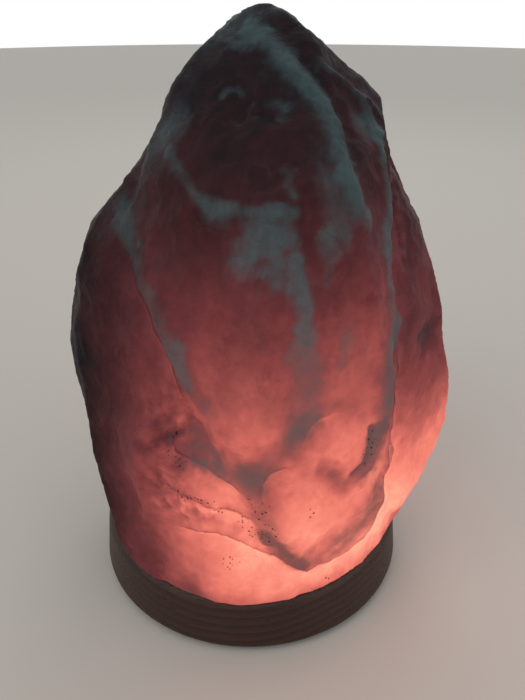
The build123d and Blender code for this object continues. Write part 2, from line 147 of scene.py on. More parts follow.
# the crystal's outline in the photograph: a row of pixels, its left end and its right end
outline = [
    (3, 262, 269), (7, 251, 278), (12, 240, 287), (20, 228, 298), (43, 207, 323), (60, 190, 340),
    (80, 174, 365), (100, 165, 382), (120, 160, 384), (140, 150, 387), (160, 138, 393), (187, 117, 404),
    (220, 91, 420), (240, 84, 425), (273, 76, 435), (307, 72, 442), (340, 70, 443), (373, 76, 449),
    (397, 83, 448), (420, 88, 445), (453, 93, 433), (487, 103, 415), (520, 113, 394), (543, 119, 380),
    (575, 150, 345),
]

crystal = mergedCopy("salt_crystal", "saltCrystal")
applied(crystal, "REMESH", mode="VOXEL", voxel_size=crystalShape["faceSize"])
applied(crystal, "SMOOTH", factor=0.5, iterations=crystalShape["rounding"])
print("crystal remade:", len(crystal.data.vertices), "points")

crystalFoot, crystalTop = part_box("salt_crystal")
# where the hewn crease of the front runs on too far down, it is worn away
wornCrease = {
    "line": [(196, 398), (208, 422), (222, 446), (236, 470), (248, 492), (256, 506)],
    "reach": 0.0160, "passes": 320,
}


def keepShare(place):
    # how far a point of the crystal may be sculpted: not in the bore, nor where it sits on the base
    edge = crystalShape["boreEdge"]
    outside = between(math.hypot(place.x, place.y), edge, edge + crystalShape["boreFade"])
    if place.z > crystalShape["boreTop"]:
        outside = 1
    return outside * between(place.z, crystalFoot.z, crystalFoot.z + crystalShape["seatFade"])


# lines of the front, as pixels in the photograph. width and rise are in metres, and milk is how pale
# the salt is there, glow how much more light it lets through, dirt how specked and rough how pitted it is
lines = {
    "whiteRidge": {
        "line": [
            (270, 48), (284, 62), (300, 78), (320, 97), (334, 120), (342, 147), (350, 176), (358, 202),
            (364, 216),
        ],
        "width": 0.0038, "rise": 0.0016, "milk": 0.8,
    },
    "ridgeFlank": {
        "line": [(286, 74), (300, 94), (314, 118), (324, 150), (332, 180), (340, 206)],
        "width": 0.0070, "milk": 0.5,
    },
    "topRidge": {
        "line": [(320, 68), (334, 79), (345, 88), (358, 102), (370, 117), (380, 133)],
        "width": 0.0024, "rise": 0.0012, "milk": 0.55,
    },
    "topHollow": {
        "line": [(306, 66), (322, 84), (336, 104), (350, 130)],
        "width": 0.0026, "rise": -0.0010, "milk": -0.2,
    },
    "rightRidge": {
        "line": [(380, 140), (383, 165), (385, 200), (386, 235), (388, 262), (390, 293), (394, 326)],
        "width": 0.0026, "rise": 0.0012, "milk": 0.65, "glow": -0.02,
    },
    "leftCrease": {
        "line": [
            (118, 205), (124, 232), (132, 258), (144, 290), (157, 318), (167, 340), (176, 362), (187, 384),
        ],
        "width": 0.0034, "rise": 0.0010, "milk": 0.42, "glow": -0.05,
    },
    "creaseFoot": {
        "line": [(172, 352), (180, 372), (192, 394), (202, 408)],
        "width": 0.0040, "milk": 0.45, "glow": -0.06,
    },
    "windowEdge": {
        "line": [
            (168, 154), (178, 166), (186, 182), (194, 196), (205, 206), (222, 210), (242, 211), (270, 213),
            (296, 214),
        ],
        "width": 0.0022, "rise": 0.0009, "milk": 0.6,
    },
    "middleVein": {
        "line": [(297, 264), (301, 288), (306, 318), (305, 340)],
        "width": 0.0030, "rise": 0.0006, "milk": 0.85, "glow": -0.05,
    },
    "veinTop": {
        "line": [(274, 246), (277, 262), (279, 284)],
        "width": 0.0030, "milk": 0.6, "glow": -0.03,
    },
    "veinStrip": {
        "line": [(290, 222), (292, 240), (296, 258)],
        "width": 0.0020, "milk": 0.5,
    },
    "sideStrip": {
        "line": [(326, 238), (330, 258), (328, 280)],
        "width": 0.0026, "milk": 0.4,
    },
    "veinFoot": {
        "line": [(302, 350), (306, 372), (308, 390), (303, 410), (296, 430)],
        "width": 0.0060, "milk": 0.78, "glow": -0.06,
    },
    "dimpleTop": {
        "line": [(224, 98), (229, 93), (236, 92), (242, 96)],
        "width": 0.0016, "rise": -0.0009, "milk": 0.75,
    },
    "dimpleMiddle": {
        "line": [(253, 104), (247, 110), (249, 117), (258, 118)],
        "width": 0.0014, "rise": -0.0010, "milk": 0.6,
    },
    "dimpleSide": {
        "line": [(266, 106), (275, 104), (284, 108), (279, 116)],
        "width": 0.0022, "rise": -0.0007, "milk": 0.6,
    },
    "dimpleLow": {
        "line": [(230, 121), (237, 125), (243, 124)],
        "width": 0.0013, "rise": -0.0008, "milk": 0.65,
    },
    "ringRim": {
        "line": [(245, 182), (246, 170), (256, 164), (267, 168), (270, 178)],
        "width": 0.0015, "rise": 0.0007, "milk": 0.6,
    },
    "ringSide": {
        "line": [(284, 172), (291, 178), (288, 188), (294, 196)],
        "width": 0.0018, "rise": 0.0006, "milk": 0.6,
    },
    "shortVein": {
        "line": [(345, 340), (343, 352), (338, 366)],
        "width": 0.0020, "milk": 0.5, "glow": -0.03,
    },
    "shieldRight": {
        "line": [(394, 328), (391, 352), (387, 384), (384, 404)],
        "width": 0.0042, "rise": 0.0006, "milk": 0.78, "glow": -0.12,
    },
    "shieldRightLow": {
        "line": [(384, 404), (379, 430), (374, 452), (370, 480)],
        "width": 0.0042, "rise": 0.0006, "milk": 0.5, "glow": -0.03,
    },
    "shieldFoot": {
        "line": [(374, 490), (367, 514), (352, 532), (334, 546), (314, 560)],
        "width": 0.0070, "rise": 0.0004, "milk": 0.85, "glow": -0.15,
    },
    "middleValley": {
        "line": [(222, 470), (238, 476), (252, 484), (260, 500), (265, 520), (272, 540), (290, 560)],
        "width": 0.0064, "rise": -0.0010, "milk": 0.75, "glow": -0.15,
    },
    "sideValley": {
        "line": [(252, 474), (272, 462), (288, 452), (298, 434)],
        "width": 0.0056, "rise": -0.0008, "milk": 0.65, "glow": -0.12,
    },
    "darkNotch": {
        "line": [(320, 468), (333, 476), (343, 487), (354, 478), (366, 466), (374, 450), (378, 430)],
        "width": 0.0034, "rise": -0.0012, "milk": 0.7, "glow": -0.20, "dirt": 0.2,
    },
    "shieldLow": {
        "line": [(264, 538), (278, 551), (292, 561), (304, 568)],
        "width": 0.0032, "milk": 0.55, "glow": -0.20,
    },
    "seam": {
        "line": [(369, 426), (372, 438), (371, 452), (365, 463), (353, 475)],
        "width": 0.0011, "rise": -0.0012, "milk": 0.3, "glow": -0.20, "dirt": 0.4,
    },
    "curl": {
        "line": [(384, 468), (392, 462), (396, 452), (393, 442)],
        "width": 0.0012, "rise": 0.0010, "milk": 0.3, "glow": -0.12,
    },
    "lobeTop": {
        "line": [(306, 418), (318, 408), (334, 404), (350, 408), (360, 420)],
        "width": 0.0018, "rise": -0.0006, "milk": 0.35, "glow": -0.06,
    },
    "leftPitted": {
        "line": [(178, 404), (168, 424), (162, 448), (170, 472), (164, 500), (190, 516)],
        "width": 0.0070, "rough": 1.0, "glow": -0.02,
    },
    "ridgePitted": {
        "line": [(389, 165), (394, 192), (398, 220), (404, 250)],
        "width": 0.0036, "rough": 0.9,
    },
    "lipPitted": {
        "line": [(190, 506), (214, 516), (240, 524), (252, 540)],
        "width": 0.0050, "rough": 0.6,
    },
    "lipSpecks": {
        "line": [(176, 490), (196, 500), (214, 508), (232, 513), (244, 520), (256, 538)],
        "width": 0.0030, "dirt": 0.9,
    },
    "valleySpecks": {
        "line": [(256, 505), (266, 528), (276, 540)],
        "width": 0.0046, "dirt": 0.75,
    },
    "leftSpecks": {
        "line": [(172, 428), (174, 452), (184, 470)],
        "width": 0.0034, "dirt": 0.55, "glow": -0.05,
    },
}

# veins of the sides that the photograph doesn't show: directions in degrees from +X, heights in metres
hiddenVeins = {
    "backRidge": {
        "way": [(82, 0.228), (76, 0.205), (79, 0.178), (70, 0.150), (66, 0.118)],
        "width": 0.0046, "rise": 0.0010, "milk": 0.62, "glow": -0.08,
    },
    "backVein": {
        "way": [(112, 0.196), (104, 0.166), (109, 0.138), (98, 0.112), (103, 0.084), (96, 0.062)],
        "width": 0.0040, "rise": -0.0010, "milk": 0.58, "glow": -0.15,
    },
    "backBranch": {
        "way": [(109, 0.138), (121, 0.116), (126, 0.092)],
        "width": 0.0030, "rise": -0.0008, "milk": 0.5, "glow": -0.10,
    },
    "backFoot": {
        "way": [(60, 0.082), (72, 0.070), (86, 0.067), (98, 0.056), (118, 0.052)],
        "width": 0.0036, "rise": -0.0014, "milk": 0.45, "glow": -0.14, "dirt": 0.5,
    },
    "leftVein": {
        "way": [(150, 0.186), (158, 0.158), (152, 0.130), (161, 0.104), (157, 0.076)],
        "width": 0.0042, "rise": 0.0008, "milk": 0.6,
    },
    "leftHollow": {
        "way": [(176, 0.140), (170, 0.112), (175, 0.086)],
        "width": 0.0050, "rise": -0.0014, "milk": 0.15,
    },
    "rightVein": {
        "way": [(24, 0.196), (15, 0.168), (21, 0.140), (12, 0.114), (17, 0.090)],
        "width": 0.0038, "rise": 0.0008, "milk": 0.58, "glow": -0.10,
    },
    "rightHollow": {
        "way": [(42, 0.132), (47, 0.108), (40, 0.082)],
        "width": 0.0060, "rise": -0.0014, "milk": 0.3, "glow": -0.10,
    },
}

# rounder marks: where they are in the photograph, and their radius in metres
spots = {
    "apexMilk": {"spot": (262, 12), "radius": 0.010, "milk": 0.45},
    "apexStreak": {"spot": (252, 38), "radius": 0.0045, "rise": 0.0006, "milk": 0.7},
    "apexFace": {"spot": (230, 36), "radius": 0.010, "milk": 0.3},
    "leftTop": {"spot": (176, 118), "radius": 0.010, "milk": 0.4},
    "leftSlope": {"spot": (158, 150), "radius": 0.011, "milk": 0.26},
    "leftShoulder": {"spot": (122, 196), "radius": 0.013, "milk": 0.24},
    "leftStrip": {"spot": (118, 240), "radius": 0.010, "milk": 0.12},
    "upperPatch": {"spot": (262, 234), "radius": 0.0072, "milk": 0.95},
    "patchLow": {"spot": (238, 262), "radius": 0.0058, "milk": 0.7},
    "patchLeft": {"spot": (216, 218), "radius": 0.0056, "milk": 0.5},
    "sidePatch": {"spot": (336, 240), "radius": 0.0050, "milk": 0.55},
    "rightPatch": {"spot": (368, 127), "radius": 0.007, "milk": 0.6},
    "lowPatch": {"spot": (384, 246), "radius": 0.006, "milk": 0.5},
    "windowDark": {"spot": (246, 138), "radius": 0.025, "milk": -0.35, "glow": -0.050},
    "slabDark": {"spot": (371, 106), "radius": 0.008, "milk": -0.3, "glow": -0.05},
    "ring": {"spot": (257, 178), "radius": 0.0050, "rise": -0.0018, "milk": -0.2},
    "brightLobe": {"spot": (306, 502), "radius": 0.016, "rise": 0.0012, "milk": -0.4, "glow": 0.07},
    "upperLobe": {"spot": (334, 444), "radius": 0.011, "rise": 0.0010, "milk": -0.2, "glow": 0.08},
    "middleLobe": {"spot": (256, 442), "radius": 0.009, "rise": 0.0008, "milk": -0.3, "glow": 0.06},
    "leftDark": {"spot": (203, 446), "radius": 0.0075, "rise": -0.0006, "milk": 0.6, "glow": -0.19},
    "leftLobe": {"spot": (208, 484), "radius": 0.008, "rise": 0.0008, "glow": 0.05},
    "footGlow": {"spot": (268, 576), "radius": 0.020, "milk": -0.4, "glow": 0.05},
    "footHot": {"spot": (318, 582), "radius": 0.013, "milk": -0.3, "glow": 0.10},
    "crescentLow": {"spot": (368, 550), "radius": 0.014, "milk": -0.4, "glow": 0.13},
    "crescent": {"spot": (396, 496), "radius": 0.014, "milk": -0.4, "glow": 0.09},
    "crescentTop": {"spot": (416, 436), "radius": 0.013, "milk": -0.2, "glow": -0.10},
    "chip": {"spot": (390, 455), "radius": 0.0045, "rise": 0.0014, "milk": 0.35, "glow": -0.05},
    "lensHollow": {"spot": (428, 337), "radius": 0.0056, "rise": -0.0018, "milk": 0.3, "glow": -0.20},
    # low on the foot: paler, with less of the light coming through
    "footPaleDim": {"spot": (193, 586), "radius": 0.0050, "milk": 0.4, "glow": -0.16},
    "footShade": {"spot": (160, 556), "radius": 0.0120, "glow": -0.06},
    "specksLobe": {"spot": (306, 511), "radius": 0.0030, "dirt": 0.9},
    "specksFoot": {"spot": (226, 562), "radius": 0.0045, "dirt": 0.8},
    "specksLow": {"spot": (212, 600), "radius": 0.0035, "dirt": 0.6},
    "specksNotch": {"spot": (371, 452), "radius": 0.0050, "dirt": 0.8},
    "specksRight": {"spot": (328, 576), "radius": 0.0040, "dirt": 0.6},
}

# ledges: an upper layer of the salt ends there over a lower one, which lies on the right of the
# line's way. step is how far the lower one stands back, in metres, and outer how far out it does, in pixels
ledges = {
    "shield": {
        "line": [
            (160, 523), (178, 529), (196, 532), (216, 535), (236, 540), (252, 547), (268, 556), (286, 565),
            (307, 573), (318, 565), (336, 556), (352, 548), (365, 538), (374, 516), (383, 485), (388, 463),
            (392, 430), (395, 395), (397, 360), (397, 335),
        ],
        "step": 0.0028,
    },
    "upperLedge": {
        "line": [
            (160, 426), (170, 434), (176, 452), (193, 460), (210, 470), (227, 482), (243, 493), (254, 504),
        ],
        "step": 0.0020,
    },
    "crease": {
        "line": [
            (122, 250), (132, 280), (144, 308), (156, 334), (164, 350), (172, 376), (182, 396), (198, 412),
        ],
        "step": 0.0022,
    },
    "rightEdge": {
        "line": [(396, 330), (393, 300), (390, 268), (389, 235), (388, 200), (385, 165), (383, 136)],
        "step": 0.0024,
    },
    "whiteDrop": {
        "line": [(353, 188), (349, 164), (345, 140), (340, 122), (331, 110), (316, 93), (293, 75), (274, 56)],
        "step": 0.0016, "outer": 14,
    },
    "slab": {
        "line": [(384, 120), (372, 105), (354, 91), (336, 79), (316, 68)],
        "step": 0.0020, "outer": 16,
    },
    "notch": {
        "line": [(342, 493), (351, 486), (362, 479), (371, 471), (376, 460), (379, 446)],
        "step": 0.0012, "outer": 14,
    },
    "lip": {
        "line": [
            (148, 482), (173, 491), (190, 500), (207, 508), (225, 512), (240, 516), (251, 521), (256, 531),
            (258, 543),
        ],
        "step": 0.0014, "outer": 14,
    },
    "upperLobe": {
        "line": [(296, 464), (298, 448), (305, 431), (317, 419), (332, 412), (350, 411)],
        "step": 0.0007, "outer": 12,
    },
    "brightLobe": {
        "line": [(267, 514), (262, 500), (262, 485), (270, 474), (284, 468), (304, 467)],
        "step": 0.0007, "outer": 12,
    },
}
# how a ledge reaches outwards and inwards, sets in and tapers off at its ends, and how far it wanders, all
# in pixels, with the size of that wander in metres
ledgeReach = {"outer": 24.0, "inner": 9.0, "slope": 5.0, "taper": 30.0, "wander": 1.3, "wanderSize": 0.007}

# how much of the bulb's light comes through: by height, less to the thick left, less high on the right
crystalGlow = {
    "byHeight": [
        (0.028, 0.74), (0.036, 0.90), (0.052, 0.97), (0.078, 0.93), (0.092, 0.89), (0.107, 0.80),
        (0.126, 0.72), (0.137, 0.66), (0.153, 0.53), (0.170, 0.41), (0.182, 0.29), (0.198, 0.17),
        (0.215, 0.07), (0.232, 0.02), (0.255, 0.0),
    ],
    "leftReach": 0.070, "leftBend": 1.7, "leftLoss": 0.95, "leftLeast": 0.06,
    "rightFrom": 0.050, "rightTo": 0.064, "rightLoss": 0.36, "rightLow": 0.070, "rightHigh": 0.120,
}


def onCrystal(pixels):
    # where the camera sees each pixel of the photograph on the crystal, without those that miss it
    found = [crystal.ray_cast(camera.location, sightLine(x, y)) for x, y in pixels]
    return [place.copy() for hit, place, _, _ in found if hit]


def walk(line, step=3.0):
    # points along a line, about a step apart
    for (x0, y0), (x1, y1) in zip(line, line[1:]):
        count = max(1, round(math.hypot(x1 - x0, y1 - y0) / step))
        for i in range(count):
            yield x0 + (x1 - x0) * i / count, y0 + (y1 - y0) * i / count
    yield line[-1]


def roundCrystal(way):
    # where the crystal's skin is in each direction and at each height of a way, seen from outside
    found = []
    for turn, height in way:
        outwards = Vector((math.cos(math.radians(turn)), math.sin(math.radians(turn)), 0))
        start = outwards * crystalTop.length + Vector((0, 0, height))      # well outside the crystal
        hit, place, _, _ = crystal.ray_cast(start, -outwards)
        if hit:
            found.append(place.copy())
    return found


def glowAt(place):
    # the bulb's light at a place, 0 to 1
    left = max(-place.x, 0) / crystalGlow["leftReach"]
    left = max(1 - crystalGlow["leftLoss"] * left ** crystalGlow["leftBend"], crystalGlow["leftLeast"])
    right = between(place.x, crystalGlow["rightFrom"], crystalGlow["rightTo"])
    right *= between(place.z, crystalGlow["rightLow"], crystalGlow["rightHigh"])
    return along(crystalGlow["byHeight"], place.z) * left * (1 - crystalGlow["rightLoss"] * right)


def finderOf(places):
    # a search tree, which finds those of the places that are near a point
    finder = kdtree.KDTree(len(places))
    for index, place in enumerate(places):
        finder.insert(place, index)
    finder.balance()
    return finder


def nearTo(finder, middles, reach):
    # every place within reach of the middles, and how far it is from the nearest of them
    nearest = {}
    for middle in middles:
        for _, index, gap in finder.find_range(middle, reach):
            nearest[index] = min(gap, nearest.get(index, gap))
    return nearest


points = crystal.data.vertices
wornPoints = crystal.vertex_groups.new(name="worn")
finder = finderOf([point.co for point in points])
for index, gap in nearTo(finder, onCrystal(walk(wornCrease["line"])), wornCrease["reach"]).items():
    wornPoints.add([index], 1 - (gap / wornCrease["reach"]) ** 2, "REPLACE")
applied(crystal, "SMOOTH", factor=0.5, iterations=wornCrease["passes"], vertex_group="worn")
crystal.vertex_groups.clear()

points = crystal.data.vertices
places = [point.co.copy() for point in points]
normals = [point.normal.copy() for point in points]
pixels = [pixelOf(place) for place in places]
facing = [normal.dot((place - camera.location).normalized()) for place, normal in zip(places, normals)]
finder = finderOf(places)

# what is pressed into each point, by name; the parts that are turned away from the camera are milkier
backMilk = {"milk": 0.28, "from": -0.25, "to": 0.15}
marked = {name: [0.0] * len(points) for name in ("rise", "dirt", "rough", "edge", "edgeNear")}
marked["glow"] = [glowAt(place) for place in places]
marked["milk"] = [
    backMilk["milk"] * between(turned, backMilk["from"], backMilk["to"]) for turned in facing
]
# the unevenness of a mark's edge, and how much a hidden vein swells and thins out on its way, which is
# followed in steps of degrees and metres
ragged = {"size": 0.008, "amount": 0.5, "swellSize": 0.019, "swell": 1.1, "steps": (2, 0.002)}


def press(middles, width, mark, swell=0.0):
    # leaves a mark on every point of the crystal near the middles, strongest on them
    for index, gap in nearTo(finder, middles, width * 2).items():
        gap *= 1 + ragged["amount"] * noise.fractal(places[index] / ragged["size"], 0.7, 2.2, 3)
        gap *= 1 + swell * (noise.noise(places[index] / ragged["swellSize"]) + 0.2)
        share = (1 - min(gap / (width * 2), 1) ** 2) ** 2
        for name in ("rise", "milk", "glow", "dirt", "rough"):
            marked[name][index] += mark.get(name, 0) * share


for line in lines.values():
    press(onCrystal(walk(line["line"])), line["width"], line)
for spot in spots.values():
    press(onCrystal([spot["spot"]]), spot["radius"], spot)
turnStep, heightStep = ragged["steps"]
for vein in hiddenVeins.values():
    inSteps = [(turn / turnStep, height / heightStep) for turn, height in vein["way"]]
    way = [(turn * turnStep, height * heightStep) for turn, height in walk(inSteps, 1.0)]
    press(roundCrystal(way), vein["width"], vein, ragged["swell"])

# pits of the rough marks, with painted shade in them: the deeper one is, the darker
pits = {"size": 0.0046, "depth": 0.0013, "glow": 0.16}
for index, share in enumerate(marked["rough"]):
    if share > 0:
        pitted = share * noise.fractal(places[index] / pits["size"], 0.9, 2.1, 3)
        marked["rise"][index] += pits["depth"] * pitted
        marked["glow"][index] += pits["glow"] * pitted


def sideOf(line, x, y):
    # how far a pixel is from a line, in pixels and above 0 on its right, and how far from the line's ends
    best, way = None, 0.0
    length = sum(math.dist(a, b) for a, b in zip(line, line[1:]))
    for (x0, y0), (x1, y1) in zip(line, line[1:]):
        part = math.hypot(x1 - x0, y1 - y0)
        share = between(((x - x0) * (x1 - x0) + (y - y0) * (y1 - y0)) / part**2, 0, 1)
        gap = math.hypot(x - x0 - (x1 - x0) * share, y - y0 - (y1 - y0) * share)
        if best is None or gap < abs(best[0]):
            right = (x1 - x0) * (y - y0) - (y1 - y0) * (x - x0) > 0
            here = way + part * share
            best = (gap if right else -gap, min(here, length - here))
        way += part
    return best


for ledge in ledges.values():
    line, outer, inner = ledge["line"], ledge.get("outer", ledgeReach["outer"]), ledgeReach["inner"]
    left, right = min(x for x, _ in line) - outer, max(x for x, _ in line) + outer
    top, foot = min(y for _, y in line) - outer, max(y for _, y in line) + outer
    for index, (x, y) in enumerate(pixels):
        if facing[index] >= 0 or not (left < x < right and top < y < foot):
            continue
        gap, fromEnd = sideOf(line, x, y)
        gap += ledgeReach["wander"] * noise.fractal(places[index] / ledgeReach["wanderSize"], 0.8, 2.1, 3)
        near = max(1 - (gap / outer if gap > 0 else -gap / inner), 0)
        near *= between(fromEnd, 0, ledgeReach["taper"])
        if near > marked["edgeNear"][index]:
            marked["edgeNear"][index] = near
            marked["edge"][index] = gap / inner
        if gap > 0:
            marked["rise"][index] -= ledge["step"] * near**1.5 * between(gap, 0, ledgeReach["slope"])
print("marks pressed in")


def dentAt(place):
    # how far the hollows, scallops, chips and grit raise or sink the skin at a place
    size, depth = crystalShape["hollows"]
    dent = depth * (noise.noise(place / size) - 0.2)
    size, depth = crystalShape["scallops"]
    wander = place / size + noise.noise_vector(place / size * 0.7) * 0.35
    cells, _ = noise.voronoi(wander)
    dent += depth * (min((cells[0] * 1.5) ** 2, 1) - 0.6)
    size, depth = crystalShape["chips"]
    cells, _ = noise.voronoi(place / size + noise.noise_vector(place / size) * 0.4)
    inPlaces = between(noise.noise(place / crystalShape["chipPlaces"]), -0.2, 0.3)
    dent += depth * (min(cells[0] * 1.6, 1) - 0.6) * inPlaces
    size, depth = crystalShape["grit"]
    return dent + depth * noise.fractal(place / size, 0.8, 2.1, 3)


noise.seed_set(crystalShape["seed"])
sculpted = [
    place + normal * (dentAt(place) + raised) * keepShare(place)
    for place, normal, raised in zip(places, normals, marked["rise"])
]

# the foot's outline, worn round: how far out it reaches is taken in sectors and evened out over their
# neighbours. The front reaches a little further out than the hewn block
footShape = {
    "sectors": 72, "neighbours": 6, "evening": 2.6,     # evening is in sectors
    "seat": 0.006,                          # height of the band in which the reach is taken
    "full": 0.008, "none": 0.030,           # heights up to which it is worn in full, and at all
    "inner": 0.045, "outer": 0.058,         # from the axis: nothing within the one, all beyond the other
    "front": -95, "frontSpread": 60,        # in degrees
    "frontReach": 0.0028, "radius": 0.07,
}


def sectorOf(place):
    # the direction of a place from the axis, counted in sectors
    return math.atan2(place.y, place.x) / math.tau * footShape["sectors"]


sectors = footShape["sectors"]
reach = [0.0] * sectors
for place in sculpted:
    if place.z < crystalFoot.z + footShape["seat"]:
        sector = math.floor(sectorOf(place)) % sectors
        reach[sector] = max(reach[sector], math.hypot(place.x, place.y))
offsets = range(-footShape["neighbours"], footShape["neighbours"] + 1)
shares = [math.exp(-((offset / footShape["evening"]) ** 2)) for offset in offsets]
worn = []
for sector in range(sectors):
    evened = sum(share * reach[(sector + offset) % sectors] for offset, share in zip(offsets, shares))
    worn.append(evened / sum(shares) / reach[sector])
for place in sculpted:
    fade = 1 - between(place.z, crystalFoot.z + footShape["full"], crystalFoot.z + footShape["none"])
    fade *= between(math.hypot(place.x, place.y), footShape["inner"], footShape["outer"])
    if fade > 0:
        turn = (sectorOf(place) - 0.5) % sectors
        here, share = int(turn), turn % 1
        grow = worn[here] * (1 - share) + worn[(here + 1) % sectors] * share
        turned = abs(math.degrees(math.atan2(place.y, place.x)) - footShape["front"])
        towardsFront = 1 - between(turned, 0, footShape["frontSpread"])
        grow += footShape["frontReach"] / footShape["radius"] * towardsFront**2
        place.xy *= 1 + (grow - 1) * fade

# fitted to the photograph's outline from side to side, and stretched up to the apex
rowHeight = 5       # in pixels
rowLeft, rowRight = {}, {}
pixels = [pixelOf(place) for place in sculpted]
for x, y in pixels:
    row = round(y / rowHeight)
    rowLeft[row] = min(x, rowLeft.get(row, x))
    rowRight[row] = max(x, rowRight.get(row, x))
isLeft = [(row * rowHeight, x) for row, x in sorted(rowLeft.items())]
isRight = [(row * rowHeight, x) for row, x in sorted(rowRight.items())]
wantLeft = [(y, x) for y, x, _ in outline]
wantRight = [(y, x) for y, _, x in outline]
topNow = max(place.z for place in sculpted)
fitted = []
for place, (x, y) in zip(sculpted, pixels):
    left, right = along(isLeft, y), along(isRight, y)
    middle = (left + right) / 2
    fade = 1 - between(y, outline[-2][0], outline[-1][0])
    if x < middle:
        shift = (along(wantLeft, y) - left) * between(x, middle, left) ** 2 if left < middle else 0
    else:
        shift = (along(wantRight, y) - right) * between(x, middle, right) ** 2 if right > middle else 0
    depth = -(toCamera @ place).z
    place.x += shift * fade * depth / lensReach * keepShare(place)
    place.z += (crystalTop.z - topNow) * between(place.z, crystalShape["stretchFrom"], topNow)
    for axis in range(3):
        fitted.append(min(max(place[axis], crystalFoot[axis]), crystalTop[axis]))
points.foreach_set("co", fitted)
crystal.data.update()

# the salt's material reads these
saltMarks = ("milk", "glow", "dirt", "edge", "edgeNear")
for name in saltMarks:
    layer = crystal.data.attributes.new(name, "FLOAT", "POINT")
    layer.data.foreach_set("value", marked[name])
selectOnly(crystal)
bpy.ops.object.shade_smooth()
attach(crystal, "lamp_body")
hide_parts("salt_crystal")
print("crystal sculpted")


# rolled thread of the bulb's cap and of the sleeve that it turns in: the same right-hand helix. bottom and
# top are its heights, and what lies within inner of the axis stays plain
thread = {
    "pitch": 0.002822, "depth": 0.00070, "fade": 0.0012, "ringsPerTurn": 12,
    "margin": 0.0015,               # how far beyond the thread's ends the cap's wall is pushed in too
    "bulbCap": {"bottom": 0.0402, "top": 0.0508, "inner": 0.0063},
    "screwShell": {"bottom": 0.0322, "top": 0.0482, "inner": 0.0070},
}


def threadShare(place, bottom, top):
    # how far a place is on the thread's crest, 1 on it and 0 at its root, and how far it is within its ends
    wave = math.cos(math.tau * place.z / thread["pitch"] - math.atan2(place.y, place.x))
    ends = between(place.z, bottom, bottom + thread["fade"]) * between(place.z, top, top - thread["fade"])
    return (0.5 + 0.5 * wave) * ends, ends


def rollThread(node, name, outside):
    # rings are cut into the wall of a copy, and their points pushed in to the helix
    piece = mergedCopy(node, name)
    bottom, top = thread[name]["bottom"], thread[name]["top"]
    selectOnly(piece)
    bpy.ops.object.mode_set(mode="EDIT")
    rings = round((top - bottom) / thread["pitch"] * thread["ringsPerTurn"])
    for ring in range(rings + 1):
        bpy.ops.mesh.select_all(action="SELECT")
        height = bottom + (top - bottom) * ring / rings
        bpy.ops.mesh.bisect(plane_co=(0, 0, height), plane_no=(0, 0, 1))
    bpy.ops.object.mode_set(mode="OBJECT")
    margin = thread["margin"]
    for point in piece.data.vertices:
        fromAxis = math.hypot(point.co.x, point.co.y)
        if fromAxis < thread[name]["inner"] or not bottom - margin < point.co.z < top + margin:
            continue
        crest, ends = threadShare(point.co, bottom, top)
        pushed = (1 - crest) * between(point.co.z, top + margin, top) if outside else ends - crest
        point.co.xy *= 1 - thread["depth"] * pushed / fromAxis
    selectOnly(piece)
    bpy.ops.object.shade_smooth_by_angle(angle=math.radians(40))
    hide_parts(node)
    return piece


bulbCap = rollThread("bulb_cap", "bulbCap", outside=True)
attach(bulbCap, "bulb")
screwShell = rollThread("screw_shell", "screwShell", outside=False)
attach(screwShell, "lampholder")
print("threads rolled")

# filament: a fine wire wound into a coil along X, which is then bent into an arch
filamentShape = {
    "wire": 0.00008, "wireSides": 6, "coil": 0.00036, "turns": 34, "stepsPerTurn": 10,
    "halfSpan": 0.0070, "height": 0.08645, "rise": 0.0010, "sag": 0.0035, "mergeGap": 0.0000005,
}

bpy.ops.object.select_all(action="DESELECT")
bpy.ops.mesh.primitive_circle_add(
    vertices=filamentShape["wireSides"], radius=filamentShape["wire"], rotation=(math.pi / 2, 0, 0),
    location=(-filamentShape["halfSpan"], 0, filamentShape["coil"]))
filament = bpy.context.object
filament.name = "filamentCoil"
bpy.ops.object.transform_apply(location=True, rotation=True, scale=True)
applied(filament, "SCREW", axis="X", angle=math.tau, iterations=filamentShape["turns"],
        steps=filamentShape["stepsPerTurn"], render_steps=filamentShape["stepsPerTurn"],
        screw_offset=2 * filamentShape["halfSpan"] / filamentShape["turns"])
bpy.ops.object.mode_set(mode="EDIT")
bpy.ops.mesh.select_all(action="SELECT")
bpy.ops.mesh.remove_doubles(threshold=filamentShape["mergeGap"])
bpy.ops.mesh.fill_holes(sides=filamentShape["wireSides"])
bpy.ops.mesh.select_all(action="SELECT")
bpy.ops.mesh.normals_make_consistent(inside=False)
bpy.ops.object.mode_set(mode="OBJECT")
for point in filament.data.vertices:
    middle = 1 - (point.co.x / filamentShape["halfSpan"]) ** 2
    point.co.y += filamentShape["sag"] * middle
    point.co.z += filamentShape["height"] + filamentShape["rise"] * middle
bpy.ops.object.shade_smooth()
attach(filament, "bulb")
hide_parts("filament")
print("filament wound:", len(filament.data.polygons), "faces")


# the materials are built with these
def feed(tree, made, inputs):
    # each input gets a fixed value, or is joined to the output that it is given
    for name, value in inputs.items():
        if isinstance(value, bpy.types.NodeSocket):
            tree.links.new(value, made.inputs[name])
        else:
            made.inputs[name].default_value = value


def node(tree, kind, inputs=None, **settings):
    made = tree.nodes.new(kind)
    for name, value in settings.items():
        setattr(made, name, value)
    feed(tree, made, inputs or {})
    return made


def newMaterial(name, **values):
    # a material, its nodes and its shader, which has the values given
    material = bpy.data.materials.new(name)
    material.use_nodes = True
    shader = material.node_tree.nodes["Principled BSDF"]
    for socket, value in values.items():
        shader.inputs[socket.replace("_", " ")].default_value = value
    return material, material.node_tree, shader


def objectPlace(tree):
    return node(tree, "ShaderNodeTexCoord").outputs["Object"]


def mapped(tree, place, **inputs):
    # a place, moved, turned or stretched
    return node(tree, "ShaderNodeMapping", {"Vector": place, **inputs}).outputs[0]


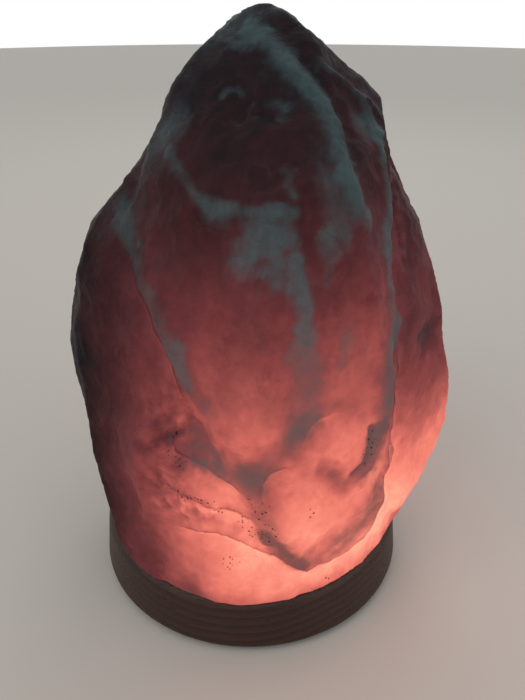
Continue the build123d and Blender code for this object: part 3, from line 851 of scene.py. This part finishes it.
def maths(tree, operation, first, second=0.0, third=0.0, clamp=False):
    inputs = {0: first, 1: second, 2: third}
    return node(tree, "ShaderNodeMath", inputs, operation=operation, use_clamp=clamp).outputs[0]


def stretch(tree, value, low, high, toLow=0.0, toHigh=1.0, smooth=False):
    # low to high becomes toLow to toHigh, and what lies beyond them stays at these
    inputs = {"Value": value, "From Min": low, "From Max": high, "To Min": toLow, "To Max": toHigh}
    kind = "SMOOTHSTEP" if smooth else "LINEAR"
    return node(tree, "ShaderNodeMapRange", inputs, interpolation_type=kind).outputs[0]


def noiseOf(tree, place, scale, detail=4.0, rough=0.6, swirl=0.0, output="Fac"):
    inputs = {"Vector": place, "Scale": scale, "Detail": detail, "Roughness": rough, "Distortion": swirl}
    return node(tree, "ShaderNodeTexNoise", inputs).outputs[output]


def strayed(tree, place, scale, reach):
    # a place, pushed aside by noise up to a reach
    push = noiseOf(tree, place, scale, 3, 0.5, output="Color")
    inputs = {0: push, 1: (reach, reach, reach), 2: place}
    return node(tree, "ShaderNodeVectorMath", inputs, operation="MULTIPLY_ADD").outputs[0]


def mix(tree, share, first, second):
    # the first colour where the share is 0, the second where it is 1
    inputs = {"Factor": share, "A": first, "B": second}
    return node(tree, "ShaderNodeMix", inputs, data_type="RGBA").outputs["Result"]


def ramp(tree, source, stops):
    made = tree.nodes.new("ShaderNodeValToRGB")
    tree.links.new(source, made.inputs[0])
    band = made.color_ramp
    band.elements[0].position, band.elements[0].color = stops[0]
    band.elements[1].position, band.elements[1].color = stops[-1]
    for position, colour in stops[1:-1]:
        band.elements.new(position).color = colour
    return made.outputs["Color"]


def relief(tree, shader, height, strength, distance):
    # lets a height show on a shader's surface, without changing the shape
    inputs = {"Height": height, "Strength": strength, "Distance": distance}
    feed(tree, shader, {"Normal": node(tree, "ShaderNodeBump", inputs).outputs["Normal"]})


# salt: dark with painted shade, with milky veins, lit from within towards the foot
saltLook = {
    "glowStops": [
        (0.00, tone(0, 0, 0)), (0.15, tone(43, 14, 14)), (0.30, tone(70, 29, 31)), (0.45, tone(100, 43, 44)),
        (0.60, tone(138, 64, 61)), (0.75, tone(181, 88, 80)), (0.85, tone(213, 107, 95)),
        (0.93, tone(237, 124, 107)), (1.00, tone(251, 139, 119)), (1.06, tone(253, 153, 130)),
        (1.14, tone(255, 176, 146)),
    ],
    "veinGlowStops": [
        (0.00, tone(0, 0, 0)), (0.15, tone(12, 8, 10)), (0.30, tone(46, 30, 32)), (0.45, tone(74, 50, 50)),
        (0.60, tone(98, 58, 55)), (0.75, tone(124, 66, 59)), (1.00, tone(184, 106, 90)),
        (1.14, tone(220, 136, 112)),
    ],
    "glowMost": 1.14,
    # the dark body and the milky veins are painted dim, as they look in shade; the salt itself is paler
    "dark": tone(34, 26, 30), "milky": tone(72, 90, 93), "dirt": tone(40, 20, 18),
    # how fine each part of the pattern is
    "veins": 46, "wisps": 150, "clouds": 250, "cracks": 52, "specks": 760,
    # how much the cracks, the lines of the ledges and the specks take from the light
    "crackShade": -0.04, "edgeShade": -0.10, "speckShade": -0.34,
    # how much darker the light is just above a ledge, and how much brighter below it
    "edgeGlow": (-0.075, 0.13),
}

salt, tree, saltShader = newMaterial("salt", Roughness=0.5, Specular_IOR_Level=0.04, Emission_Strength=1.0)
place = objectPlace(tree)
saltMap = {
    name: node(tree, "ShaderNodeAttribute", attribute_name=name).outputs["Fac"] for name in saltMarks
}

# milk: the marks of the front, broken up and joined by veins that run mostly up and down
upright = mapped(tree, place, Scale=(1, 1, 0.4))
veins = noiseOf(tree, upright, saltLook["veins"], 7, 0.62, 0.9)
wisps = noiseOf(tree, upright, saltLook["wisps"], 5, 0.6, 0.4)
milkAll = maths(tree, "MULTIPLY_ADD", veins, 1.5, saltMap["milk"])
milkAll = maths(tree, "MULTIPLY_ADD", wisps, 0.45, milkAll)
milkAll = stretch(tree, milkAll, 0.98, 2.05, smooth=True)
clouds = noiseOf(tree, place, saltLook["clouds"], 5, 0.65, 0.6)
milkAll = maths(tree, "MULTIPLY", milkAll, stretch(tree, clouds, 0.30, 0.62, 0.62, 1.0))

# cracks: thin lines where cells of the salt meet, only in places
inputs = {"Vector": strayed(tree, place, 60, 0.03), "Scale": saltLook["cracks"]}
cells = node(tree, "ShaderNodeTexVoronoi", inputs, feature="DISTANCE_TO_EDGE")
crackPlaces = stretch(tree, noiseOf(tree, place, 30, 3), 0.5, 0.62)
cracks = stretch(tree, cells.outputs["Distance"], 0.0, 0.05, 1.0, 0.0)
cracks = maths(tree, "MULTIPLY", cracks, crackPlaces)

# specks of earth in the salt, few of them large
inputs = {"Vector": strayed(tree, place, 1500, 0.0013), "Scale": saltLook["specks"]}
dots = node(tree, "ShaderNodeTexVoronoi", inputs).outputs
dotSize = node(tree, "ShaderNodeSeparateColor", {0: dots["Color"]}).outputs[0]
dotSize = stretch(tree, dotSize, 0.15, 1.0, 0.0, 0.50)
speckPlaces = maths(tree, "MULTIPLY_ADD", noiseOf(tree, place, 260, 3), 0.9, saltMap["dirt"])
specks = stretch(tree, maths(tree, "SUBTRACT", dotSize, dots["Distance"]), 0.0, 0.08)
specks = maths(tree, "MULTIPLY", specks, stretch(tree, speckPlaces, 0.86, 1.10))

# ledges: bright below the edge, where the salt is thin, and darker just above it
below = stretch(tree, saltMap["edge"], -0.10, 0.16, smooth=True)
edgeGlow = stretch(tree, below, 0, 1, *saltLook["edgeGlow"])
edgeGlow = maths(tree, "MULTIPLY", edgeGlow, maths(tree, "POWER", saltMap["edgeNear"], 2.0))
fromEdge = maths(tree, "ABSOLUTE", maths(tree, "ADD", saltMap["edge"], 0.10))
edgeLine = stretch(tree, fromEdge, 0.0, 0.16, 1.0, 0.0)
edgeLine = maths(tree, "MULTIPLY", edgeLine, stretch(tree, saltMap["edgeNear"], 0.35, 0.8))
edgeLine = maths(tree, "MULTIPLY", edgeLine, stretch(tree, noiseOf(tree, place, 90, 4), 0.40, 0.58))

# the light from within, cloudy in broad and in small patches
broad = stretch(tree, noiseOf(tree, place, 45, 5), 0.25, 0.75, -0.085, 0.085)
small = stretch(tree, noiseOf(tree, place, 210, 4), 0.25, 0.75, -0.035, 0.035)
glowAll = maths(tree, "ADD", maths(tree, "ADD", saltMap["glow"], broad), small)
glowAll = maths(tree, "MULTIPLY_ADD", edgeGlow, maths(tree, "MULTIPLY", saltMap["glow"], 1.25), glowAll)
glowAll = maths(tree, "MULTIPLY_ADD", cracks, saltLook["crackShade"], glowAll)
glowAll = maths(tree, "MULTIPLY_ADD", edgeLine, saltLook["edgeShade"], glowAll)
glowAll = maths(tree, "MULTIPLY_ADD", specks, saltLook["speckShade"], glowAll)
lit = stretch(tree, glowAll, 0.0, saltLook["glowMost"])
clearGlow, veinGlow = (
    ramp(tree, lit, [(glow / saltLook["glowMost"], colour) for glow, colour in saltLook[stops]])
    for stops in ("glowStops", "veinGlowStops")
)
# where the light comes through, little of the milk's own paleness is left
pale = maths(tree, "MULTIPLY", milkAll, stretch(tree, glowAll, 0.40, 0.85, 1.0, 0.30))
# the salt's body: its dark and milky tones painted dim, as in shade
body = mix(tree, pale, saltLook["dark"], saltLook["milky"])
dirty = maths(tree, "MAXIMUM", specks, maths(tree, "MULTIPLY", cracks, 0.15))
feed(tree, saltShader, {
    "Emission Color": mix(tree, milkAll, clearGlow, veinGlow),
    "Base Color": mix(tree, dirty, body, saltLook["dirt"]),
})
height = maths(tree, "MULTIPLY_ADD", cracks, -0.3, noiseOf(tree, place, 420, 4))
height = maths(tree, "MULTIPLY_ADD", noiseOf(tree, place, 120, 5), 1.5, height)
relief(tree, saltShader, height, 0.5, 0.0009)
crystal.data.materials.append(salt)


# effects that several finishes share, as node groups
def newGroup(name, inputs, outputs):
    # the kind of an input follows from its usual value, and a direction has none
    group = bpy.data.node_groups.new(name, "ShaderNodeTree")
    kinds = {float: "NodeSocketFloat", tuple: "NodeSocketColor", type(None): "NodeSocketVector"}
    for label, value in inputs.items():
        socket = group.interface.new_socket(label, in_out="INPUT", socket_type=kinds[type(value)])
        if value is not None:
            socket.default_value = value
    for label, kind in outputs.items():
        group.interface.new_socket(label, in_out="OUTPUT", socket_type=kind)
    return group, group.nodes.new("NodeGroupInput").outputs, group.nodes.new("NodeGroupOutput")


# mottle: a dark and a light tone in soft patches, with a duller patch where it is dark
mottle, given, result = newGroup(
    "mottle", {"Vector": None, "Scale": 60.0, "Dark": (0.1, 0.1, 0.1, 1.0), "Light": (0.2, 0.2, 0.2, 1.0),
               "Smooth Roughness": 0.4, "Dull Roughness": 0.5},
    {"Colour": "NodeSocketColor", "Roughness": "NodeSocketFloat"})
patches = stretch(mottle, noiseOf(mottle, given["Vector"], given["Scale"], 6, 0.65), 0.32, 0.68)
feed(mottle, result, {
    "Colour": mix(mottle, patches, given["Dark"], given["Light"]),
    "Roughness": stretch(mottle, patches, 0, 1, given["Dull Roughness"], given["Smooth Roughness"]),
})

# tooth: the fine relief left by a mould, a brush or fibres, stretched one way where it is drawn
tooth, given, result = newGroup("tooth", {"Vector": None, "Scale": 900.0}, {"Height": "NodeSocketFloat"})
feed(tooth, result, {"Height": noiseOf(tooth, given["Vector"], given["Scale"], 3, 0.7)})

# finishes of the feet and the fittings: two tones in patches, the roughness where they are smooth and where
# they are dull, and the scale and depth of their tooth. drawn is how the tooth is stretched
finishes = {
    "felt": {
        "dark": tone(38, 34, 32), "light": tone(58, 52, 48), "patch": 300, "rough": (0.95, 1.0),
        "tooth": (1500, 0.0006),
    },
    "plug_plastic": {
        "dark": tone(142, 140, 134), "light": tone(156, 154, 148), "patch": 90, "rough": (0.4, 0.5),
        "tooth": (1200, 0.0001),
    },
    "screw_steel": {
        "dark": tone(140, 136, 126), "light": tone(172, 168, 158), "patch": 260, "rough": (0.28, 0.42),
        "metal": 1, "tooth": (1600, 0.00006), "drawn": (1, 1, 0.2),
    },
    "spring_steel": {
        "dark": tone(104, 106, 110), "light": tone(136, 138, 142), "patch": 180, "rough": (0.3, 0.42),
        "metal": 1, "tooth": (1400, 0.00006), "drawn": (0.15, 1, 1),
    },
    "black_plastic": {
        "dark": tone(24, 24, 26), "light": tone(34, 34, 36), "patch": 140, "rough": (0.38, 0.5),
        "tooth": (1300, 0.0001),
    },
    "brass": {
        "dark": tone(150, 116, 60), "light": tone(190, 154, 88), "patch": 220, "rough": (0.25, 0.42),
        "metal": 1, "tooth": (1500, 0.00006), "drawn": (1, 1, 0.3),
    },
    "white_plastic": {
        "dark": tone(206, 201, 190), "light": tone(218, 214, 204), "patch": 70, "rough": (0.34, 0.44),
        "tooth": (1100, 0.00008),
    },
    "porcelain": {
        "dark": tone(206, 203, 194), "light": tone(222, 219, 212), "patch": 110, "rough": (0.16, 0.26),
        "tooth": (500, 0.0001),
    },
    "solder": {
        "dark": tone(120, 120, 118), "light": tone(160, 160, 158), "patch": 700, "rough": (0.3, 0.5),
        "metal": 1, "tooth": (1300, 0.0002),
    },
    "cap_metal": {
        "dark": tone(150, 148, 142), "light": tone(178, 176, 170), "patch": 200, "rough": (0.22, 0.36),
        "metal": 1, "tooth": (1500, 0.00005), "drawn": (1, 1, 0.3),
    },
    "cap_glass": {
        "dark": tone(14, 14, 20), "light": tone(26, 26, 34), "patch": 400, "rough": (0.1, 0.2),
        "tooth": (600, 0.0001),
    },
    "wire": {
        "dark": tone(132, 118, 100), "light": tone(166, 150, 130), "patch": 600, "rough": (0.3, 0.45),
        "metal": 1, "tooth": (1600, 0.00004), "drawn": (1, 1, 0.3),
    },
}


def makeFinish(name, look):
    material, tree, shader = newMaterial(name, Metallic=look.get("metal", 0))
    place = objectPlace(tree)
    smooth, dull = look["rough"]
    inputs = {"Vector": place, "Scale": look["patch"], "Dark": look["dark"], "Light": look["light"],
              "Smooth Roughness": smooth, "Dull Roughness": dull}
    body = node(tree, "ShaderNodeGroup", inputs, node_tree=mottle).outputs
    feed(tree, shader, {"Base Color": body["Colour"], "Roughness": body["Roughness"]})
    scale, depth = look["tooth"]
    inputs = {"Vector": mapped(tree, place, Scale=look.get("drawn", (1, 1, 1))), "Scale": scale}
    height = node(tree, "ShaderNodeGroup", inputs, node_tree=tooth).outputs["Height"]
    relief(tree, shader, height, 0.6, depth)
    return material


materials = {name: makeFinish(name, look) for name, look in finishes.items()}

# wood of the base, turned from a plank: rings round a pith that lies below and runs from left to right
woodLook = {
    "early": tone(66, 42, 33), "late": tone(42, 25, 19), "pore": tone(26, 15, 11),
    "pith": (0.0, 0.035, 0.085), "turn": (0.05, 0.0, 0.22), "ringScale": 78, "rough": (0.42, 0.6),
}

materials["wood"], tree, woodShader = newMaterial("wood", Specular_IOR_Level=0.3)
plank = mapped(tree, objectPlace(tree), Location=woodLook["pith"], Rotation=woodLook["turn"])
inputs = {"Vector": plank, "Scale": woodLook["ringScale"], "Distortion": 3.2, "Detail": 3,
          "Detail Scale": 0.35, "Detail Roughness": 0.55}
rings = node(tree, "ShaderNodeTexWave", inputs, wave_type="RINGS", rings_direction="X", wave_profile="SAW")
fibre = mapped(tree, plank, Scale=(0.045, 1, 1))
fibres = noiseOf(tree, fibre, 1100, 4, 0.6)
pores = stretch(tree, noiseOf(tree, fibre, 620, 2, 0.5), 0.62, 0.70)
grain = maths(tree, "MULTIPLY_ADD", fibres, 0.7, maths(tree, "MULTIPLY", rings.outputs["Fac"], 0.6))
grain = maths(tree, "MULTIPLY_ADD", noiseOf(tree, plank, 26, 3), 0.5, grain)
timber = mix(tree, stretch(tree, grain, 0.45, 1.25), woodLook["early"], woodLook["late"])
feed(tree, woodShader, {
    "Base Color": mix(tree, maths(tree, "MULTIPLY", pores, 0.7), timber, woodLook["pore"]),
    "Roughness": stretch(tree, fibres, 0.3, 0.7, *woodLook["rough"]),
})
relief(tree, woodShader, maths(tree, "MULTIPLY_ADD", pores, -1.0, fibres), 0.5, 0.0003)

# glass of the bulb: clear and a little uneven
materials["bulb_glass"], tree, shader = newMaterial(
    "bulb_glass", Roughness=0.03, IOR=1.5, Transmission_Weight=1.0)
place = objectPlace(tree)
relief(tree, shader, noiseOf(tree, place, 120, 2), 0.2, 0.0004)
feed(tree, shader, {"Base Color": stretch(tree, noiseOf(tree, place, 40, 3), 0.3, 0.7, 0.97, 1.0)})

# the filament, which is alight
filamentLook = {
    "light": [(0.3, tone(255, 150, 70)), (0.7, tone(255, 206, 140))],
    "metal": [(0.3, tone(90, 84, 80)), (0.7, tone(120, 112, 106))],
    "strength": 4.0,
}

materials["filament"], tree, shader = newMaterial(
    "filament", Metallic=1.0, Emission_Strength=filamentLook["strength"])
heat = noiseOf(tree, objectPlace(tree), 500, 2)
feed(tree, shader, {
    "Emission Color": ramp(tree, heat, filamentLook["light"]),
    "Base Color": ramp(tree, heat, filamentLook["metal"]),
})

bulbCap.data.materials.append(materials["cap_metal"])
screwShell.data.materials.append(materials["brass"])
filament.data.materials.append(materials["filament"])
for piece in nodes.values():
    for slot in piece.material_slots:
        name = slot.material.name.split(".")[0] if slot.material else None
        if name in materials:
            slot.material = materials[name]
print("finishes made:", len(materials) + 1)

# floor, lights and sky
stageLook = {
    "floor": tone(214, 208, 200), "floorRadius": 3, "floorSides": 128, "sky": 0.45,
    "aim": (0, 0, 0.12),            # where the lights point
    "lights": {
        "keyLight": {"place": (-0.7, -0.7, 1.1), "energy": 3.4, "size": 0.8, "color": (1.0, 0.97, 0.94)},
        "fillLight": {"place": (0.9, -0.6, 0.6), "energy": 1.4, "size": 0.8, "color": (0.94, 0.97, 1.0)},
        "rimLight": {"place": (0.1, 0.9, 0.9), "energy": 1.2, "size": 0.6, "color": (1.0, 1.0, 1.0)},
    },
}

bpy.ops.mesh.primitive_circle_add(
    vertices=stageLook["floorSides"], radius=stageLook["floorRadius"], fill_type="NGON", location=(0, 0, 0))
floor = bpy.context.object
floor.name = "floor"
paleFloor, tree, shader = newMaterial("paleFloor", Roughness=0.6, Base_Color=stageLook["floor"])
floor.data.materials.append(paleFloor)
# from below the floor is clear, so that the lampholder can be seen when it is drawn out
clear = node(tree, "ShaderNodeBsdfTransparent").outputs[0]
under = node(tree, "ShaderNodeNewGeometry").outputs["Backfacing"]
either = node(tree, "ShaderNodeMixShader", {0: under, 1: shader.outputs[0], 2: clear}).outputs[0]
feed(tree, tree.nodes["Material Output"], {"Surface": either})

for name, look in stageLook["lights"].items():
    bpy.ops.object.light_add(type="AREA", location=look["place"])
    lamp = bpy.context.object
    lamp.name = name
    for value in ("energy", "size", "color"):
        setattr(lamp.data, value, look[value])
    aim = Vector(stageLook["aim"]) - Vector(look["place"])
    lamp.rotation_euler = aim.to_track_quat("-Z", "Y").to_euler()

# the sky is white where the camera sees it, also in glass and in shine, and weaker as a light
world = bpy.data.worlds.new("studio")
scene.world = world
world.use_nodes = True
tree = world.node_tree
path = node(tree, "ShaderNodeLightPath").outputs
seen = maths(tree, "ADD", path["Is Camera Ray"], path["Is Glossy Ray"], clamp=True)
seen = maths(tree, "ADD", seen, path["Is Transmission Ray"], clamp=True)
strength = stretch(tree, seen, 0, 1, stageLook["sky"], 1.0)
feed(tree, tree.nodes["Background"], {"Color": (1, 1, 1, 1), "Strength": strength})

scene.view_settings.view_transform = "Standard"
print("stage and lights set")
